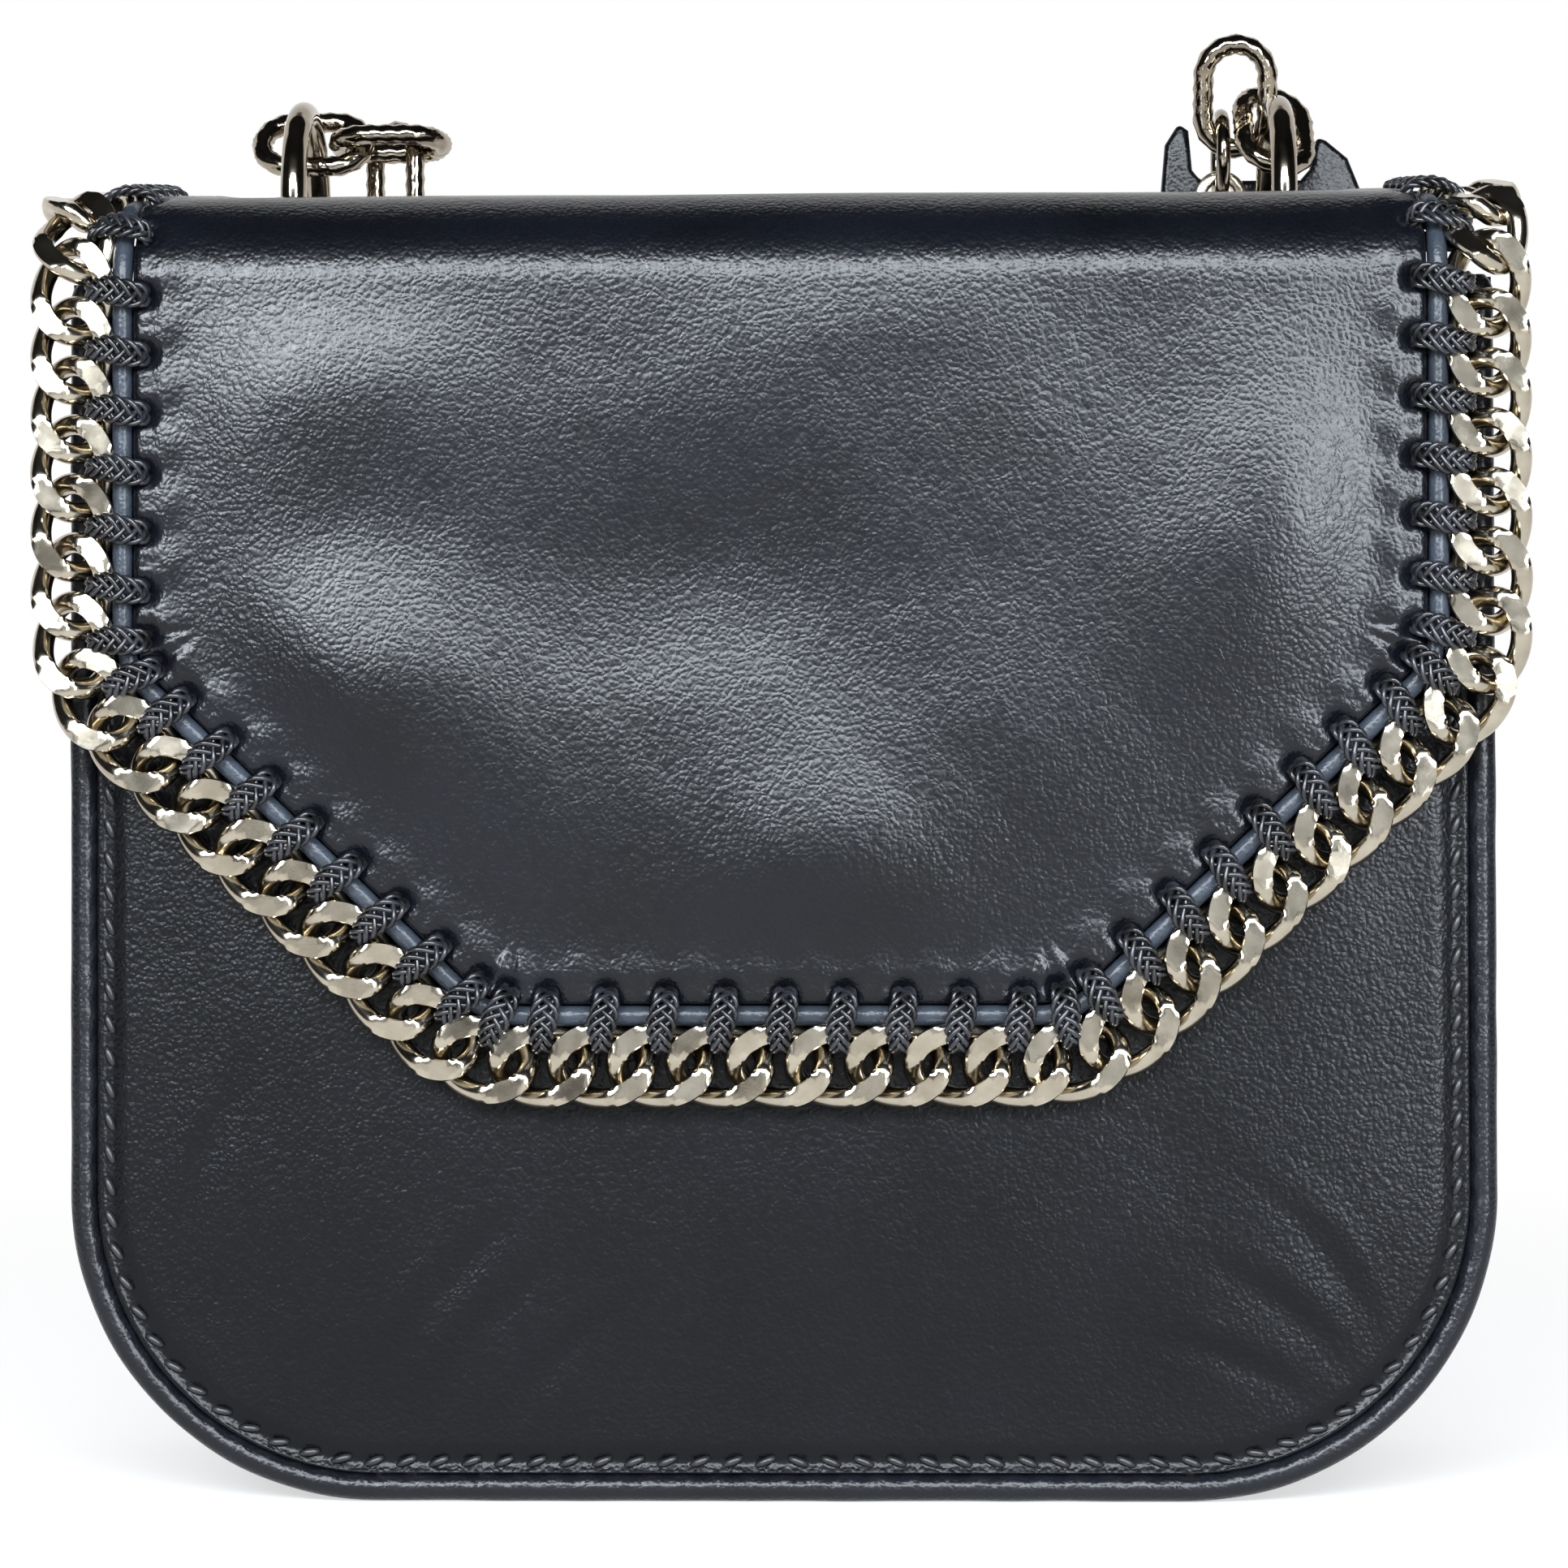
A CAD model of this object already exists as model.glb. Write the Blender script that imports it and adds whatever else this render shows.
import math
import random

import bpy
import numpy as np
from mathutils import Matrix, Vector


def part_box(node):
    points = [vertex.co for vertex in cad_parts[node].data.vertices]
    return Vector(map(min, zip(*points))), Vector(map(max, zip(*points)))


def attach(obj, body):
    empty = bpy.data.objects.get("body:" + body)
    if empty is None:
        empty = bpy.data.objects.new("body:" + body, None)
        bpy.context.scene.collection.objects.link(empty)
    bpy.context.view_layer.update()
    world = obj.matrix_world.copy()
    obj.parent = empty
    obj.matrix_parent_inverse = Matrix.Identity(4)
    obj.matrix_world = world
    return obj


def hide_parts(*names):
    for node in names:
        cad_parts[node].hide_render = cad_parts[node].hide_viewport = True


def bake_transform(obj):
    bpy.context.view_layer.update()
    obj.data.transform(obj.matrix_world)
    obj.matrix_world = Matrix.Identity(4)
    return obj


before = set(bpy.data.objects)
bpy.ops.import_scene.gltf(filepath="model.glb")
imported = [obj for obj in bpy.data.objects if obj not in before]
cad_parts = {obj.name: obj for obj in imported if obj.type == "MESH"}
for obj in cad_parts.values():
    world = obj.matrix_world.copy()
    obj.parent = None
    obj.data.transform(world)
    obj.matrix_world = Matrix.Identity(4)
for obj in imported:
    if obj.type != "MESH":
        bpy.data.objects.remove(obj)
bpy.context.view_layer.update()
print("frame loaded:", len(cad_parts), "nodes")

mm = 0.001

# sizes that several pieces share, in millimetres, as in the part's source
bag = dict(halfWidth=87.5, halfDepth=30, height=166, cornerRadius=38, frontHeight=150, beadRadius=1.8,
           panelInset=3.7, rearBend=7, stripFront=9.4, gussetHalf=26.3)
backTop = bag["height"] - bag["rearBend"]
flap = dict(thick=3.2, bendY=-24.4, bendZ=148.9, midRadius=10.4, bendAngle=math.radians(81.5),
            topLength=35.36, cornerRadius=8, lowX=31, lowZ=71, highX=68.6, highZ=107.31,
            slope=math.radians(44), halfHoles=76.6, lowHoles=63, trimOut=9.3, pitch=7.2, stitches=26)
flap["bendEnd"] = flap["bendZ"] + flap["midRadius"] * flap["bendAngle"]
flap["top"] = flap["bendEnd"] + flap["topLength"]
trimRadius = flap["cornerRadius"] + flap["trimOut"]
runs = [flap["lowX"]]  # where the edge's straight and round stretches end, measured along the trim
runs.append(runs[0] + trimRadius * flap["slope"])
runs.append(runs[1] + (flap["highX"] - flap["lowX"]) / math.cos(flap["slope"]))
runs.append(runs[2] + trimRadius * (math.pi / 2 - flap["slope"]))
runs.append(runs[3] + flap["top"] - flap["highZ"])


def linearColour(hexValue):
    channels = [int(hexValue[i:i + 2], 16) / 255 for i in (0, 2, 4)]
    return [c / 12.92 if c <= 0.04045 else ((c + 0.055) / 1.055) ** 2.4 for c in channels] + [1]


def addNode(tree, kind, settings=None, links=None):
    # settings hold a ramp's stops, the node's own fields and its sockets' values; links hold sockets' sources
    node = tree.nodes.new(kind)
    for key, value in (settings or {}).items():
        if key == "stops":
            for element, (position, colour) in zip(node.color_ramp.elements, value):
                element.position, element.color = position, linearColour(colour)
        elif hasattr(node, key):
            setattr(node, key, value)
        else:
            node.inputs[key].default_value = value
    for key, source in (links or {}).items():
        tree.links.new(source, node.inputs[key])
    return node


def startMaterial(name, **surface):
    material = bpy.data.materials.new(name)
    material.use_nodes = True
    tree = material.node_tree
    shader = tree.nodes["Principled BSDF"]
    for key, value in surface.items():
        shader.inputs[key.replace("_", " ")].default_value = value
    place = addNode(tree, "ShaderNodeTexCoord").outputs["Object"]
    return material, tree, shader, place


def linkShader(tree, shader, **sources):
    for key, source in sources.items():
        tree.links.new(source, shader.inputs[key.replace("_", " ")])


def newPiece(name, points, faces, material):
    mesh = bpy.data.meshes.new(name)
    mesh.from_pydata((np.asarray(points, float).reshape(-1, 3) * mm).tolist(), [], faces)
    mesh.shade_smooth()
    mesh.materials.append(material)
    piece = bpy.data.objects.new(name, mesh)
    bpy.context.scene.collection.objects.link(piece)
    return piece


def gridFaces(index, loopRows=False, loopCols=False, flip=False):
    if loopRows:
        index = np.vstack([index, index[:1]])
    if loopCols:
        index = np.hstack([index, index[:, :1]])
    corners = [index[:-1, :-1], index[:-1, 1:], index[1:, 1:], index[1:, :-1]]
    return np.stack(corners[::-1] if flip else corners, -1).reshape(-1, 4).tolist()


def joinGrids(name, grids, material, loopRows=False, loopCols=False, caps=False):
    # one mesh of several grids of points, each open, a tube or a ring
    points, faces, start = [], [], 0
    for grid in grids:
        rows, cols = grid.shape[:2]
        index = np.arange(rows * cols).reshape(rows, cols) + start
        faces += gridFaces(index, loopRows, loopCols)
        if caps:
            faces += [index[0][::-1].tolist(), index[-1].tolist()]
        points.append(grid.reshape(-1, 3))
        start += rows * cols
    return newPiece(name, np.concatenate(points), faces, material)


def useOnly(piece):
    bpy.ops.object.select_all(action="DESELECT")
    piece.select_set(True)
    bpy.context.view_layer.objects.active = piece


def applyModifier(piece, kind, **settings):
    useOnly(piece)
    modifier = piece.modifiers.new(kind.title(), kind)
    for key, value in settings.items():
        setattr(modifier, key, value)
    bpy.ops.object.modifier_apply(modifier=modifier.name)


def thicken(piece, thickness):
    applyModifier(piece, "SOLIDIFY", thickness=thickness * mm, offset=-1, use_even_offset=False)


def readPoints(piece):
    points = np.empty(len(piece.data.vertices) * 3)
    piece.data.vertices.foreach_get("co", points)
    return points.reshape(-1, 3) / mm


def writePoints(piece, points):
    piece.data.vertices.foreach_set("co", (np.asarray(points) * mm).ravel())
    piece.data.update()


def copyOut(name, source, places, material):
    # one mesh of copies of source, each at its place
    points = readPoints(source)
    polygons = [list(p.vertices) for p in source.data.polygons]
    allPoints, faces = [], []
    for count, place in enumerate(places):
        turned = np.array(place.to_3x3())
        allPoints.append(points @ turned.T + np.array(place.translation))
        faces += [[v + count * len(points) for v in polygon] for polygon in polygons]
    return newPiece(name, np.concatenate(allPoints), faces, material)


def finishPiece(piece, body, nodes, angle=None):
    if angle:
        useOnly(piece)
        bpy.ops.object.shade_smooth_by_angle(angle=math.radians(angle))
    if body:
        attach(piece, body)
    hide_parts(*nodes)
    print("piece", piece.name, len(piece.data.polygons), "faces")


def removePiece(piece):
    mesh = piece.data
    bpy.data.objects.remove(piece)
    bpy.data.meshes.remove(mesh)


def shift(x, y, z):
    return Matrix.Translation((x, y, z))


def turn(degrees, axis):
    return Matrix.Rotation(math.radians(degrees), 4, axis)


def bump(distance, width):
    return np.exp(-(distance / width) ** 2)


def easeStep(value, low, high):
    t = np.clip((value - low) / (high - low), 0, 1)
    return t * t * (3 - 2 * t)


def ripples(x, z, size, seed, count=6):
    # soft irregular waves about size millimetres long, between -1 and 1
    draw = random.Random(seed)
    total = np.zeros(np.shape(x))
    for _ in range(count):
        heading, phase = draw.uniform(0, math.pi), draw.uniform(0, 2 * math.pi)
        wave = 2 * math.pi / (size * draw.uniform(0.7, 1.5))
        total = total + np.sin((x * math.cos(heading) + z * math.sin(heading)) * wave + phase)
    return total / math.sqrt(count) / 1.4


def tubeGrid(path, radius, sides, closed=False, side=None):
    # rings round a path: radius is a number, one for each row, or an array of rows by sides
    path = np.asarray(path, float)
    if closed:
        along = np.roll(path, -1, 0) - np.roll(path, 1, 0)
    else:
        along = np.gradient(path, axis=0)
    along /= np.linalg.norm(along, axis=1)[:, None]
    if side is None:
        across = np.zeros_like(path)
        first = np.cross(along[0], [0.31, 0.2, 0.93])  # any heading that no path here starts along
        across[0] = first / np.linalg.norm(first)
        for i in range(1, len(path)):
            carried = across[i - 1] - along[i] * np.dot(across[i - 1], along[i])
            across[i] = carried / np.linalg.norm(carried)
    else:
        across = side - along * np.sum(side * along, 1)[:, None]
        across /= np.linalg.norm(across, axis=1)[:, None]
    other = np.cross(along, across)
    angles = np.linspace(0, 2 * math.pi, sides, endpoint=False)
    if np.ndim(radius) == 1:
        radius = np.asarray(radius)[:, None]
    radius = np.broadcast_to(radius, (len(path), sides))
    ring = across[:, None] * np.cos(angles)[None, :, None] + other[:, None] * np.sin(angles)[None, :, None]
    return path[:, None] + ring * radius[:, :, None]


def stitchTube(path, t, radius, ends):
    # one stitch's thread along its path, thinner towards both ends (t = -1 and 1)
    return tubeGrid(path, radius * np.sqrt(1.04 - t ** 2) + ends, 8)


# where things lie on the flap: x across, v along the leather from the base up and over, s along the edge

def wrapTurn(v):
    return np.clip((np.asarray(v, float) - flap["bendZ"]) / flap["midRadius"], 0, flap["bendAngle"])


def flapPoint(x, v, h):
    # h is the height over the middle of the flap's thickness
    angle = wrapTurn(v)
    past = np.maximum(0, np.asarray(v, float) - flap["bendEnd"])
    reach = flap["midRadius"] + h
    y = flap["bendY"] - reach * np.cos(angle) + past * math.sin(flap["bendAngle"])
    z = np.minimum(v, flap["bendZ"]) + reach * np.sin(angle) + past * math.cos(flap["bendAngle"])
    return np.stack([np.broadcast_to(x, np.shape(y)), y, z], -1)


def edgeHeading(s):
    s = np.abs(s)
    first = np.clip((s - runs[0]) / trimRadius, 0, flap["slope"])
    second = np.clip((s - runs[2]) / trimRadius, 0, math.pi / 2 - flap["slope"])
    return first + second


def edgePoint(s, out):
    # x and v of the point at the distance out from the row of holes
    side, s = np.where(np.asarray(s) < 0, -1, 1), np.abs(s)
    heading = edgeHeading(s)
    diagonal = np.clip(s - runs[1], 0, runs[2] - runs[1])
    x = np.minimum(s, flap["lowX"]) + diagonal * math.cos(flap["slope"])
    v = flap["lowZ"] + diagonal * math.sin(flap["slope"]) + np.maximum(0, s - runs[3])
    radius = flap["cornerRadius"] + out
    return side * (x + radius * np.sin(heading)), v - radius * np.cos(heading)


def onEdge(s, out):
    side = -1 if s < 0 else 1
    x, v = edgePoint(s, out)
    point = flapPoint(x, v, 0)
    return (Matrix.Translation(Vector(point)) @ Matrix.Rotation(-float(wrapTurn(v)), 4, "X")
            @ Matrix.Rotation(-side * float(edgeHeading(s)), 4, "Y"))


# where things lie on the body's outline: straight sides, two round lower corners, a flat base

def outlineRows(inset, top, cornerRows, step):
    # half widths and heights of rows that fill the body's outline
    radius = bag["cornerRadius"] - inset
    angles = np.linspace(math.pi / 2, 0, cornerRows)
    low = bag["cornerRadius"] - radius * np.sin(angles)
    high = np.linspace(bag["cornerRadius"], top, int((top - bag["cornerRadius"]) / step) + 1)[1:]
    flat = bag["halfWidth"] - bag["cornerRadius"]
    widths = np.concatenate([flat + radius * np.cos(angles), np.full(len(high), flat + radius)])
    return widths, np.concatenate([low, high])


def outlineDepth(x, z, inset):
    # distance in from the outline drawn in by inset
    radius = bag["cornerRadius"] - inset
    sideways = np.abs(x) - (bag["halfWidth"] - bag["cornerRadius"])
    down = bag["cornerRadius"] - z
    corner = radius - np.hypot(np.maximum(sideways, 0), np.maximum(down, 0))
    return np.where((sideways > 0) | (down > 0), corner, radius)


def outlineLine(inset, top, step):
    # points x, z, outward normals and distances along the outline, from top left to top right
    radius = bag["cornerRadius"] - inset
    flat = bag["halfWidth"] - bag["cornerRadius"]
    arc, rise = radius * math.pi / 2, top - bag["cornerRadius"]
    total = flat + arc + rise
    s = np.linspace(-total, total, 2 * int(total / step) + 1)
    side, a = np.sign(s), np.abs(s)
    angle = np.clip((a - flat) / radius, 0, math.pi / 2)
    x = side * (np.minimum(a, flat) + radius * np.sin(angle))
    z = bag["cornerRadius"] - radius * np.cos(angle) + np.maximum(0, a - flat - arc)
    return x, z, side * np.sin(angle), -np.cos(angle), s


def columnShares(count):
    # columns across a panel, closer together towards both sides
    even = np.linspace(-1, 1, count)
    return (even + np.sin(even * math.pi / 2)) / 2


def makeLeather(name, dark, pale, roughness, grain, crease, shine=0.3):
    # aniline calf leather, plated and polished: fine pebbles, a blue-grey sheen where it faces a light
    material, tree, shader, place = startMaterial(name, Roughness=roughness, Specular_IOR_Level=shine,
                                                  Coat_Weight=0.03, Coat_Roughness=0.2)
    patches = addNode(tree, "ShaderNodeTexNoise", {"Scale": 45, "Detail": 3}, {"Vector": place})  # 22 mm
    tone = addNode(tree, "ShaderNodeValToRGB", {"stops": [(0.3, dark), (0.72, pale)]},
                   {"Fac": patches.outputs["Fac"]})
    bend = addNode(tree, "ShaderNodeTexNoise", {"Scale": 500, "Detail": 2}, {"Vector": place})  # 2 mm
    drift = addNode(tree, "ShaderNodeVectorMath", {"operation": "SCALE", "Scale": 0.0012},
                    {0: bend.outputs["Color"]})
    grown = addNode(tree, "ShaderNodeVectorMath", {"operation": "ADD"}, {0: place, 1: drift.outputs[0]})
    cells = addNode(tree, "ShaderNodeTexVoronoi",
                    {"feature": "SMOOTH_F1", "Scale": 1000 / grain, "Smoothness": 0.3},
                    {"Vector": grown.outputs[0]})
    furrows = addNode(tree, "ShaderNodeTexNoise",
                      {"Scale": 800, "Detail": 4, "Roughness": 0.6, "Distortion": 0.6},
                      {"Vector": place})  # 1.2 mm
    gloss = addNode(tree, "ShaderNodeMapRange", {"To Min": roughness - 0.06, "To Max": roughness + 0.1},
                    {"Value": furrows.outputs["Fac"]})
    pebble = addNode(tree, "ShaderNodeBump", {"Strength": 0.5, "Distance": 0.00012, "invert": True},
                     {"Height": cells.outputs["Distance"]})
    folds = addNode(tree, "ShaderNodeBump", {"Strength": crease, "Distance": 0.00006},
                    {"Height": furrows.outputs["Fac"], "Normal": pebble.outputs["Normal"]})
    linkShader(tree, shader, Base_Color=tone.outputs["Color"], Roughness=gloss.outputs["Result"],
               Normal=folds.outputs["Normal"])
    return material


def makeMetal(name, dark, pale, roughness):
    # zinc casting plated with pale gold and buffed: almost a mirror, with hairline scratches
    material, tree, shader, place = startMaterial(name, Metallic=1.0, Roughness=roughness)
    cloud = addNode(tree, "ShaderNodeTexNoise", {"Scale": 300, "Detail": 4}, {"Vector": place})  # 3 mm
    hair = addNode(tree, "ShaderNodeTexNoise", {"Scale": 2500, "Detail": 2, "Distortion": 2.5},
                   {"Vector": place})  # 0.4 mm
    tone = addNode(tree, "ShaderNodeValToRGB", {"stops": [(0.3, dark), (0.7, pale)]},
                   {"Fac": cloud.outputs["Fac"]})
    gloss = addNode(tree, "ShaderNodeMapRange", {"To Min": roughness - 0.04, "To Max": roughness + 0.08},
                    {"Value": cloud.outputs["Fac"]})
    scratch = addNode(tree, "ShaderNodeBump", {"Strength": 0.12, "Distance": 0.00003},
                      {"Height": hair.outputs["Fac"]})
    linkShader(tree, shader, Base_Color=tone.outputs["Color"], Roughness=gloss.outputs["Result"],
               Normal=scratch.outputs["Normal"])
    return material


def makeThread(name, dark, pale, strand, roughness, height):
    # twisted or braided filament under wax: small strands that glint one by one
    material, tree, shader, place = startMaterial(name, Roughness=roughness, Coat_Weight=0.3,
                                                  Coat_Roughness=0.25)
    lay = addNode(tree, "ShaderNodeTexWave",
                  {"Scale": 50 / strand, "Distortion": 4, "Detail": 2, "bands_direction": "DIAGONAL"},
                  {"Vector": place})  # a wave texture of scale 50 has bands 1 mm apart
    tone = addNode(tree, "ShaderNodeValToRGB", {"stops": [(0.2, dark), (0.9, pale)]},
                   {"Fac": lay.outputs["Fac"]})
    relief = addNode(tree, "ShaderNodeBump", {"Strength": 0.6, "Distance": height},
                     {"Height": lay.outputs["Fac"]})
    linkShader(tree, shader, Base_Color=tone.outputs["Color"], Normal=relief.outputs["Normal"])
    return material


def makeTwill(name, dark, pale, thread):
    # cotton twill: diagonal ribs crossed by the weft
    material, tree, shader, place = startMaterial(name, Roughness=0.85, Sheen_Weight=0.25,
                                                  Sheen_Roughness=0.5)
    ribs = addNode(tree, "ShaderNodeTexWave",
                   {"Scale": 50 / thread, "Distortion": 0.4, "bands_direction": "DIAGONAL"},
                   {"Vector": place})
    weft = addNode(tree, "ShaderNodeTexWave", {"Scale": 50 / thread, "bands_direction": "Z"},
                   {"Vector": place})
    both = addNode(tree, "ShaderNodeMath", {"operation": "MULTIPLY"},
                   {0: ribs.outputs["Fac"], 1: weft.outputs["Fac"]})
    tone = addNode(tree, "ShaderNodeValToRGB", {"stops": [(0.05, dark), (0.8, pale)]},
                   {"Fac": both.outputs[0]})
    relief = addNode(tree, "ShaderNodeBump", {"Strength": 0.5, "Distance": 0.0001},
                     {"Height": both.outputs[0]})
    linkShader(tree, shader, Base_Color=tone.outputs["Color"], Normal=relief.outputs["Normal"])
    return material


def makeBoard(name, dark, pale):
    # pressed leather fibre board: matt, flecked
    material, tree, shader, place = startMaterial(name, Roughness=0.9)
    flecks = addNode(tree, "ShaderNodeTexNoise", {"Scale": 900, "Detail": 6, "Roughness": 0.7},
                     {"Vector": place})  # 1.1 mm
    tone = addNode(tree, "ShaderNodeValToRGB", {"stops": [(0.35, dark), (0.65, pale)]},
                   {"Fac": flecks.outputs["Fac"]})
    relief = addNode(tree, "ShaderNodeBump", {"Strength": 0.4, "Distance": 0.0001},
                     {"Height": flecks.outputs["Fac"]})
    linkShader(tree, shader, Base_Color=tone.outputs["Color"], Normal=relief.outputs["Normal"])
    return material


# leathers: dark and pale tone, roughness, width of a pebble in millimetres, strength of the furrows
calfLeather = makeLeather("polishedCalfLeather", "040508", "090b11", 0.26, 0.6, 0.5)
bodyLeather = makeLeather("bodyCalfLeather", "030406", "07080c", 0.27, 0.6, 0.7, shine=0.2)
edgeLeather = makeLeather("rolledEdgeLeather", "08090d", "101218", 0.3, 0.6, 0.4)
cordLeather = makeLeather("cordLeather", "20252b", "343b44", 0.32, 0.6, 0.15)
linerLeather = makeLeather("liningLeather", "141415", "1c1c1e", 0.6, 0.5, 0.15)
paleGold = makeMetal("buffedPaleGoldPlate", "aca391", "c4bba9", 0.15)
ringGold = makeMetal("polishedPaleGoldWire", "8d8373", "a89e8d", 0.1)
waxedBraid = makeThread("waxedBraidedCord", "0b0b0d", "1d1e22", 0.6, 0.34, 0.00005)
blackThread = makeThread("blackLinenThread", "0a0a0b", "17171a", 0.3, 0.5, 0.00004)
liningTwill = makeTwill("liningTwill", "2a2826", "3d3a37", 0.6)
fibreBoard = makeBoard("leatherFibreBoard", "2b2825", "3d3934")
print("materials made")

# flap, top strip and back are one skin of leather, in columns from the edge in
skin = dict(leather=1.4, bottomSteps=84, sideStep=0.72,
            edgeColumns=[1.9, 1.8, 1.55, 1.2, 0.8, 0.4, 0, -0.4, -0.8, -1.3, -1.8, -2.4, -3.1, -4, -5, -6, -7],
            crown=0.9, crownFade=12, swellFade=9, topFade=12, soft=5.0,
            hole=0.2, slant=0.7, holeDepth=1.3, holeWidth=1.15, rimAt=2.3, rimHeight=0.14, rimWidth=0.6,
            puff=0.28, puffAt=2.4, puffWidth=1.7, pinch=0.45, edgeRound=0.9,
            backCrown=1.3, backFade=15, backWaves=0.35, grooveAt=1.3, groove=0.55, grooveWidth=1.2)
skin["waves"] = [(0.55, 70, 3), (0.14, 30, 8), (0.03, 9, 21)]  # height, length, seed
skin["hills"] = [(1.9, -52, 100, 20, 15), (1.8, 5, 76, 17, 13), (1.7, 60, 122, 14, 24),
                 (1.0, -58, 136, 18, 12), (-1.0, -8, 112, 30, 14)]  # height, x, v, reach across, reach up


def holePlaces():
    s = np.arange(-flap["stitches"], flap["stitches"] + 1) * flap["pitch"] + skin["slant"]
    return np.stack(edgePoint(s, skin["hole"]), -1)


def flapSwell(x, v):
    # slow waves and hills, which give the leather its broad highlights; lower on the flap's top
    swell = sum(height * ripples(x, v, length, seed) for height, length, seed in skin["waves"])
    for height, hillX, hillV, across, up in skin["hills"]:
        swell = swell + height * np.exp(-((x - hillX) / across) ** 2 - ((v - hillV) / up) ** 2)
    return swell * (1 - 0.7 * easeStep(v, 140, 156))


def flapGrid(columns, bottomSteps, sideStep):
    # x, v, s, out and faces of a grid whose border follows the row of holes
    low = np.linspace(0, runs[0], bottomSteps // 2 + 1)
    high = np.linspace(runs[0], runs[4], int((runs[4] - runs[0]) / sideStep))[1:]
    s = np.concatenate([-high[::-1], -low[:0:-1], low, high])
    columns = np.array(columns)
    sGrid, outGrid = np.meshgrid(s, columns, indexing="ij")
    x, v = edgePoint(sGrid, outGrid)
    strip = np.arange(s.size * columns.size).reshape(s.size, columns.size)
    inner, sides, count = strip[:, -1], len(high), bottomSteps
    patch = np.empty((sides + 1, count + 1), int)
    patch[0] = inner[sides:sides + count + 1]
    patch[:, 0] = inner[:sides + 1][::-1]
    patch[:, -1] = inner[sides + count:]
    patch[1:, 1:-1] = np.arange(sides * (count - 1)).reshape(sides, -1) + strip.size
    shares = np.linspace(-1, 1, count + 1)[1:-1]
    patchX = x[sides + count + 1:, -1][:, None] * shares
    patchV = np.repeat(v[sides + count + 1:, -1][:, None], count - 1, 1)
    farIn = np.full(patchX.size, -9.0)  # further in than any column
    pairs = dict(x=(x, patchX), v=(v, patchV), s=(sGrid, 0 * farIn), out=(outGrid, farIn))
    points = {key: np.concatenate([edge.ravel(), rest.ravel()]) for key, (edge, rest) in pairs.items()}
    topRow = np.concatenate([strip[0], patch[-1, 1:-1], strip[-1][::-1]])
    return points, gridFaces(strip, flip=True) + gridFaces(patch), topRow


def insideDistance(x, v):
    # roughly how far a point of the flap lies in from its row of holes, with its three sides melted together
    across = np.abs(x)
    diagonal = ((across - flap["lowX"]) * math.sin(flap["slope"])
                - (v - flap["lowZ"]) * math.cos(flap["slope"]) - flap["cornerRadius"])
    sides = (across - flap["halfHoles"], flap["lowHoles"] - v, diagonal)
    soft = skin["soft"]
    return -soft * np.log(sum(np.exp(np.clip(side, -150, 30) / soft) for side in sides))


def flapRise(x, v, s, out):
    # height of the leather's face over its board: crown and swell, then each stitch's pull on the edge
    inside = np.maximum(insideDistance(x, v), 0)
    rise = skin["crown"] * (1 - bump(inside, skin["crownFade"])) * (1 - easeStep(v, 150, 160))
    rise += (flapSwell(x, v) * (1 - bump(inside, skin["swellFade"]))
             * (1 - bump(v - flap["top"], skin["topFade"])))
    near = out > -6.5
    holes = holePlaces()
    distance = np.hypot(x[near, None] - holes[None, :, 0], v[near, None] - holes[None, :, 1]).min(1)
    phase = (s[near] - skin["slant"]) / flap["pitch"] * 2 * math.pi
    between = 0.5 - 0.5 * np.cos(phase)  # 0 at a stitch, 1 between two
    fold = -skin["holeDepth"] * bump(distance, skin["holeWidth"])
    fold += skin["rimHeight"] * bump(distance - skin["rimAt"], skin["rimWidth"])
    fold += skin["puff"] * between * bump(out[near] + skin["puffAt"], skin["puffWidth"])
    fold -= skin["pinch"] * (1 - between) * easeStep(out[near], 0, 1.9)
    edge = np.clip(out[near] - skin["edgeRound"], 0, 1)
    fold -= skin["edgeRound"] * (1 - np.sqrt(np.maximum(0, 1 - edge ** 2)))
    rise[near] += fold
    return rise


def backRows(shares):
    # the top strip runs back from the crease, over the rear bend and down the back
    half, bend = bag["halfWidth"] - bag["panelInset"], bag["rearBend"]
    line = [(half, y, bag["height"], 0) for y in np.linspace(bag["stripFront"], bag["halfDepth"] - bend, 10)]
    line += [(half, bag["halfDepth"] - bend + bend * math.sin(a), backTop + bend * math.cos(a), a)
             for a in np.linspace(0, math.pi / 2, 10)[1:]]
    widths, heights = outlineRows(bag["panelInset"], backTop, 30, 2.4)
    line += [(w, bag["halfDepth"], z, math.pi / 2) for w, z in list(zip(widths, heights))[::-1][1:]]
    rows = []
    for width, y, z, angle in line:
        across = shares * width
        depth = outlineDepth(across, np.full_like(across, min(z, 140)), bag["panelInset"])
        swell = skin["backCrown"] * (1 - bump(np.maximum(depth, 0), skin["backFade"]))
        swell = swell * (1 - bump(z - bag["height"], skin["topFade"]))
        if angle > 1.5:  # on the back itself
            waves = ripples(across, np.full_like(across, z), 55, 5)
            swell = swell + skin["backWaves"] * waves * (1 - bump(depth, 10))
        if angle > 0.5:
            swell = swell - skin["groove"] * bump(depth - skin["grooveAt"], skin["grooveWidth"])
        rows.append(np.stack([across, y + swell * math.sin(angle), z + swell * math.cos(angle)], -1))
    return np.array(rows)


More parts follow.
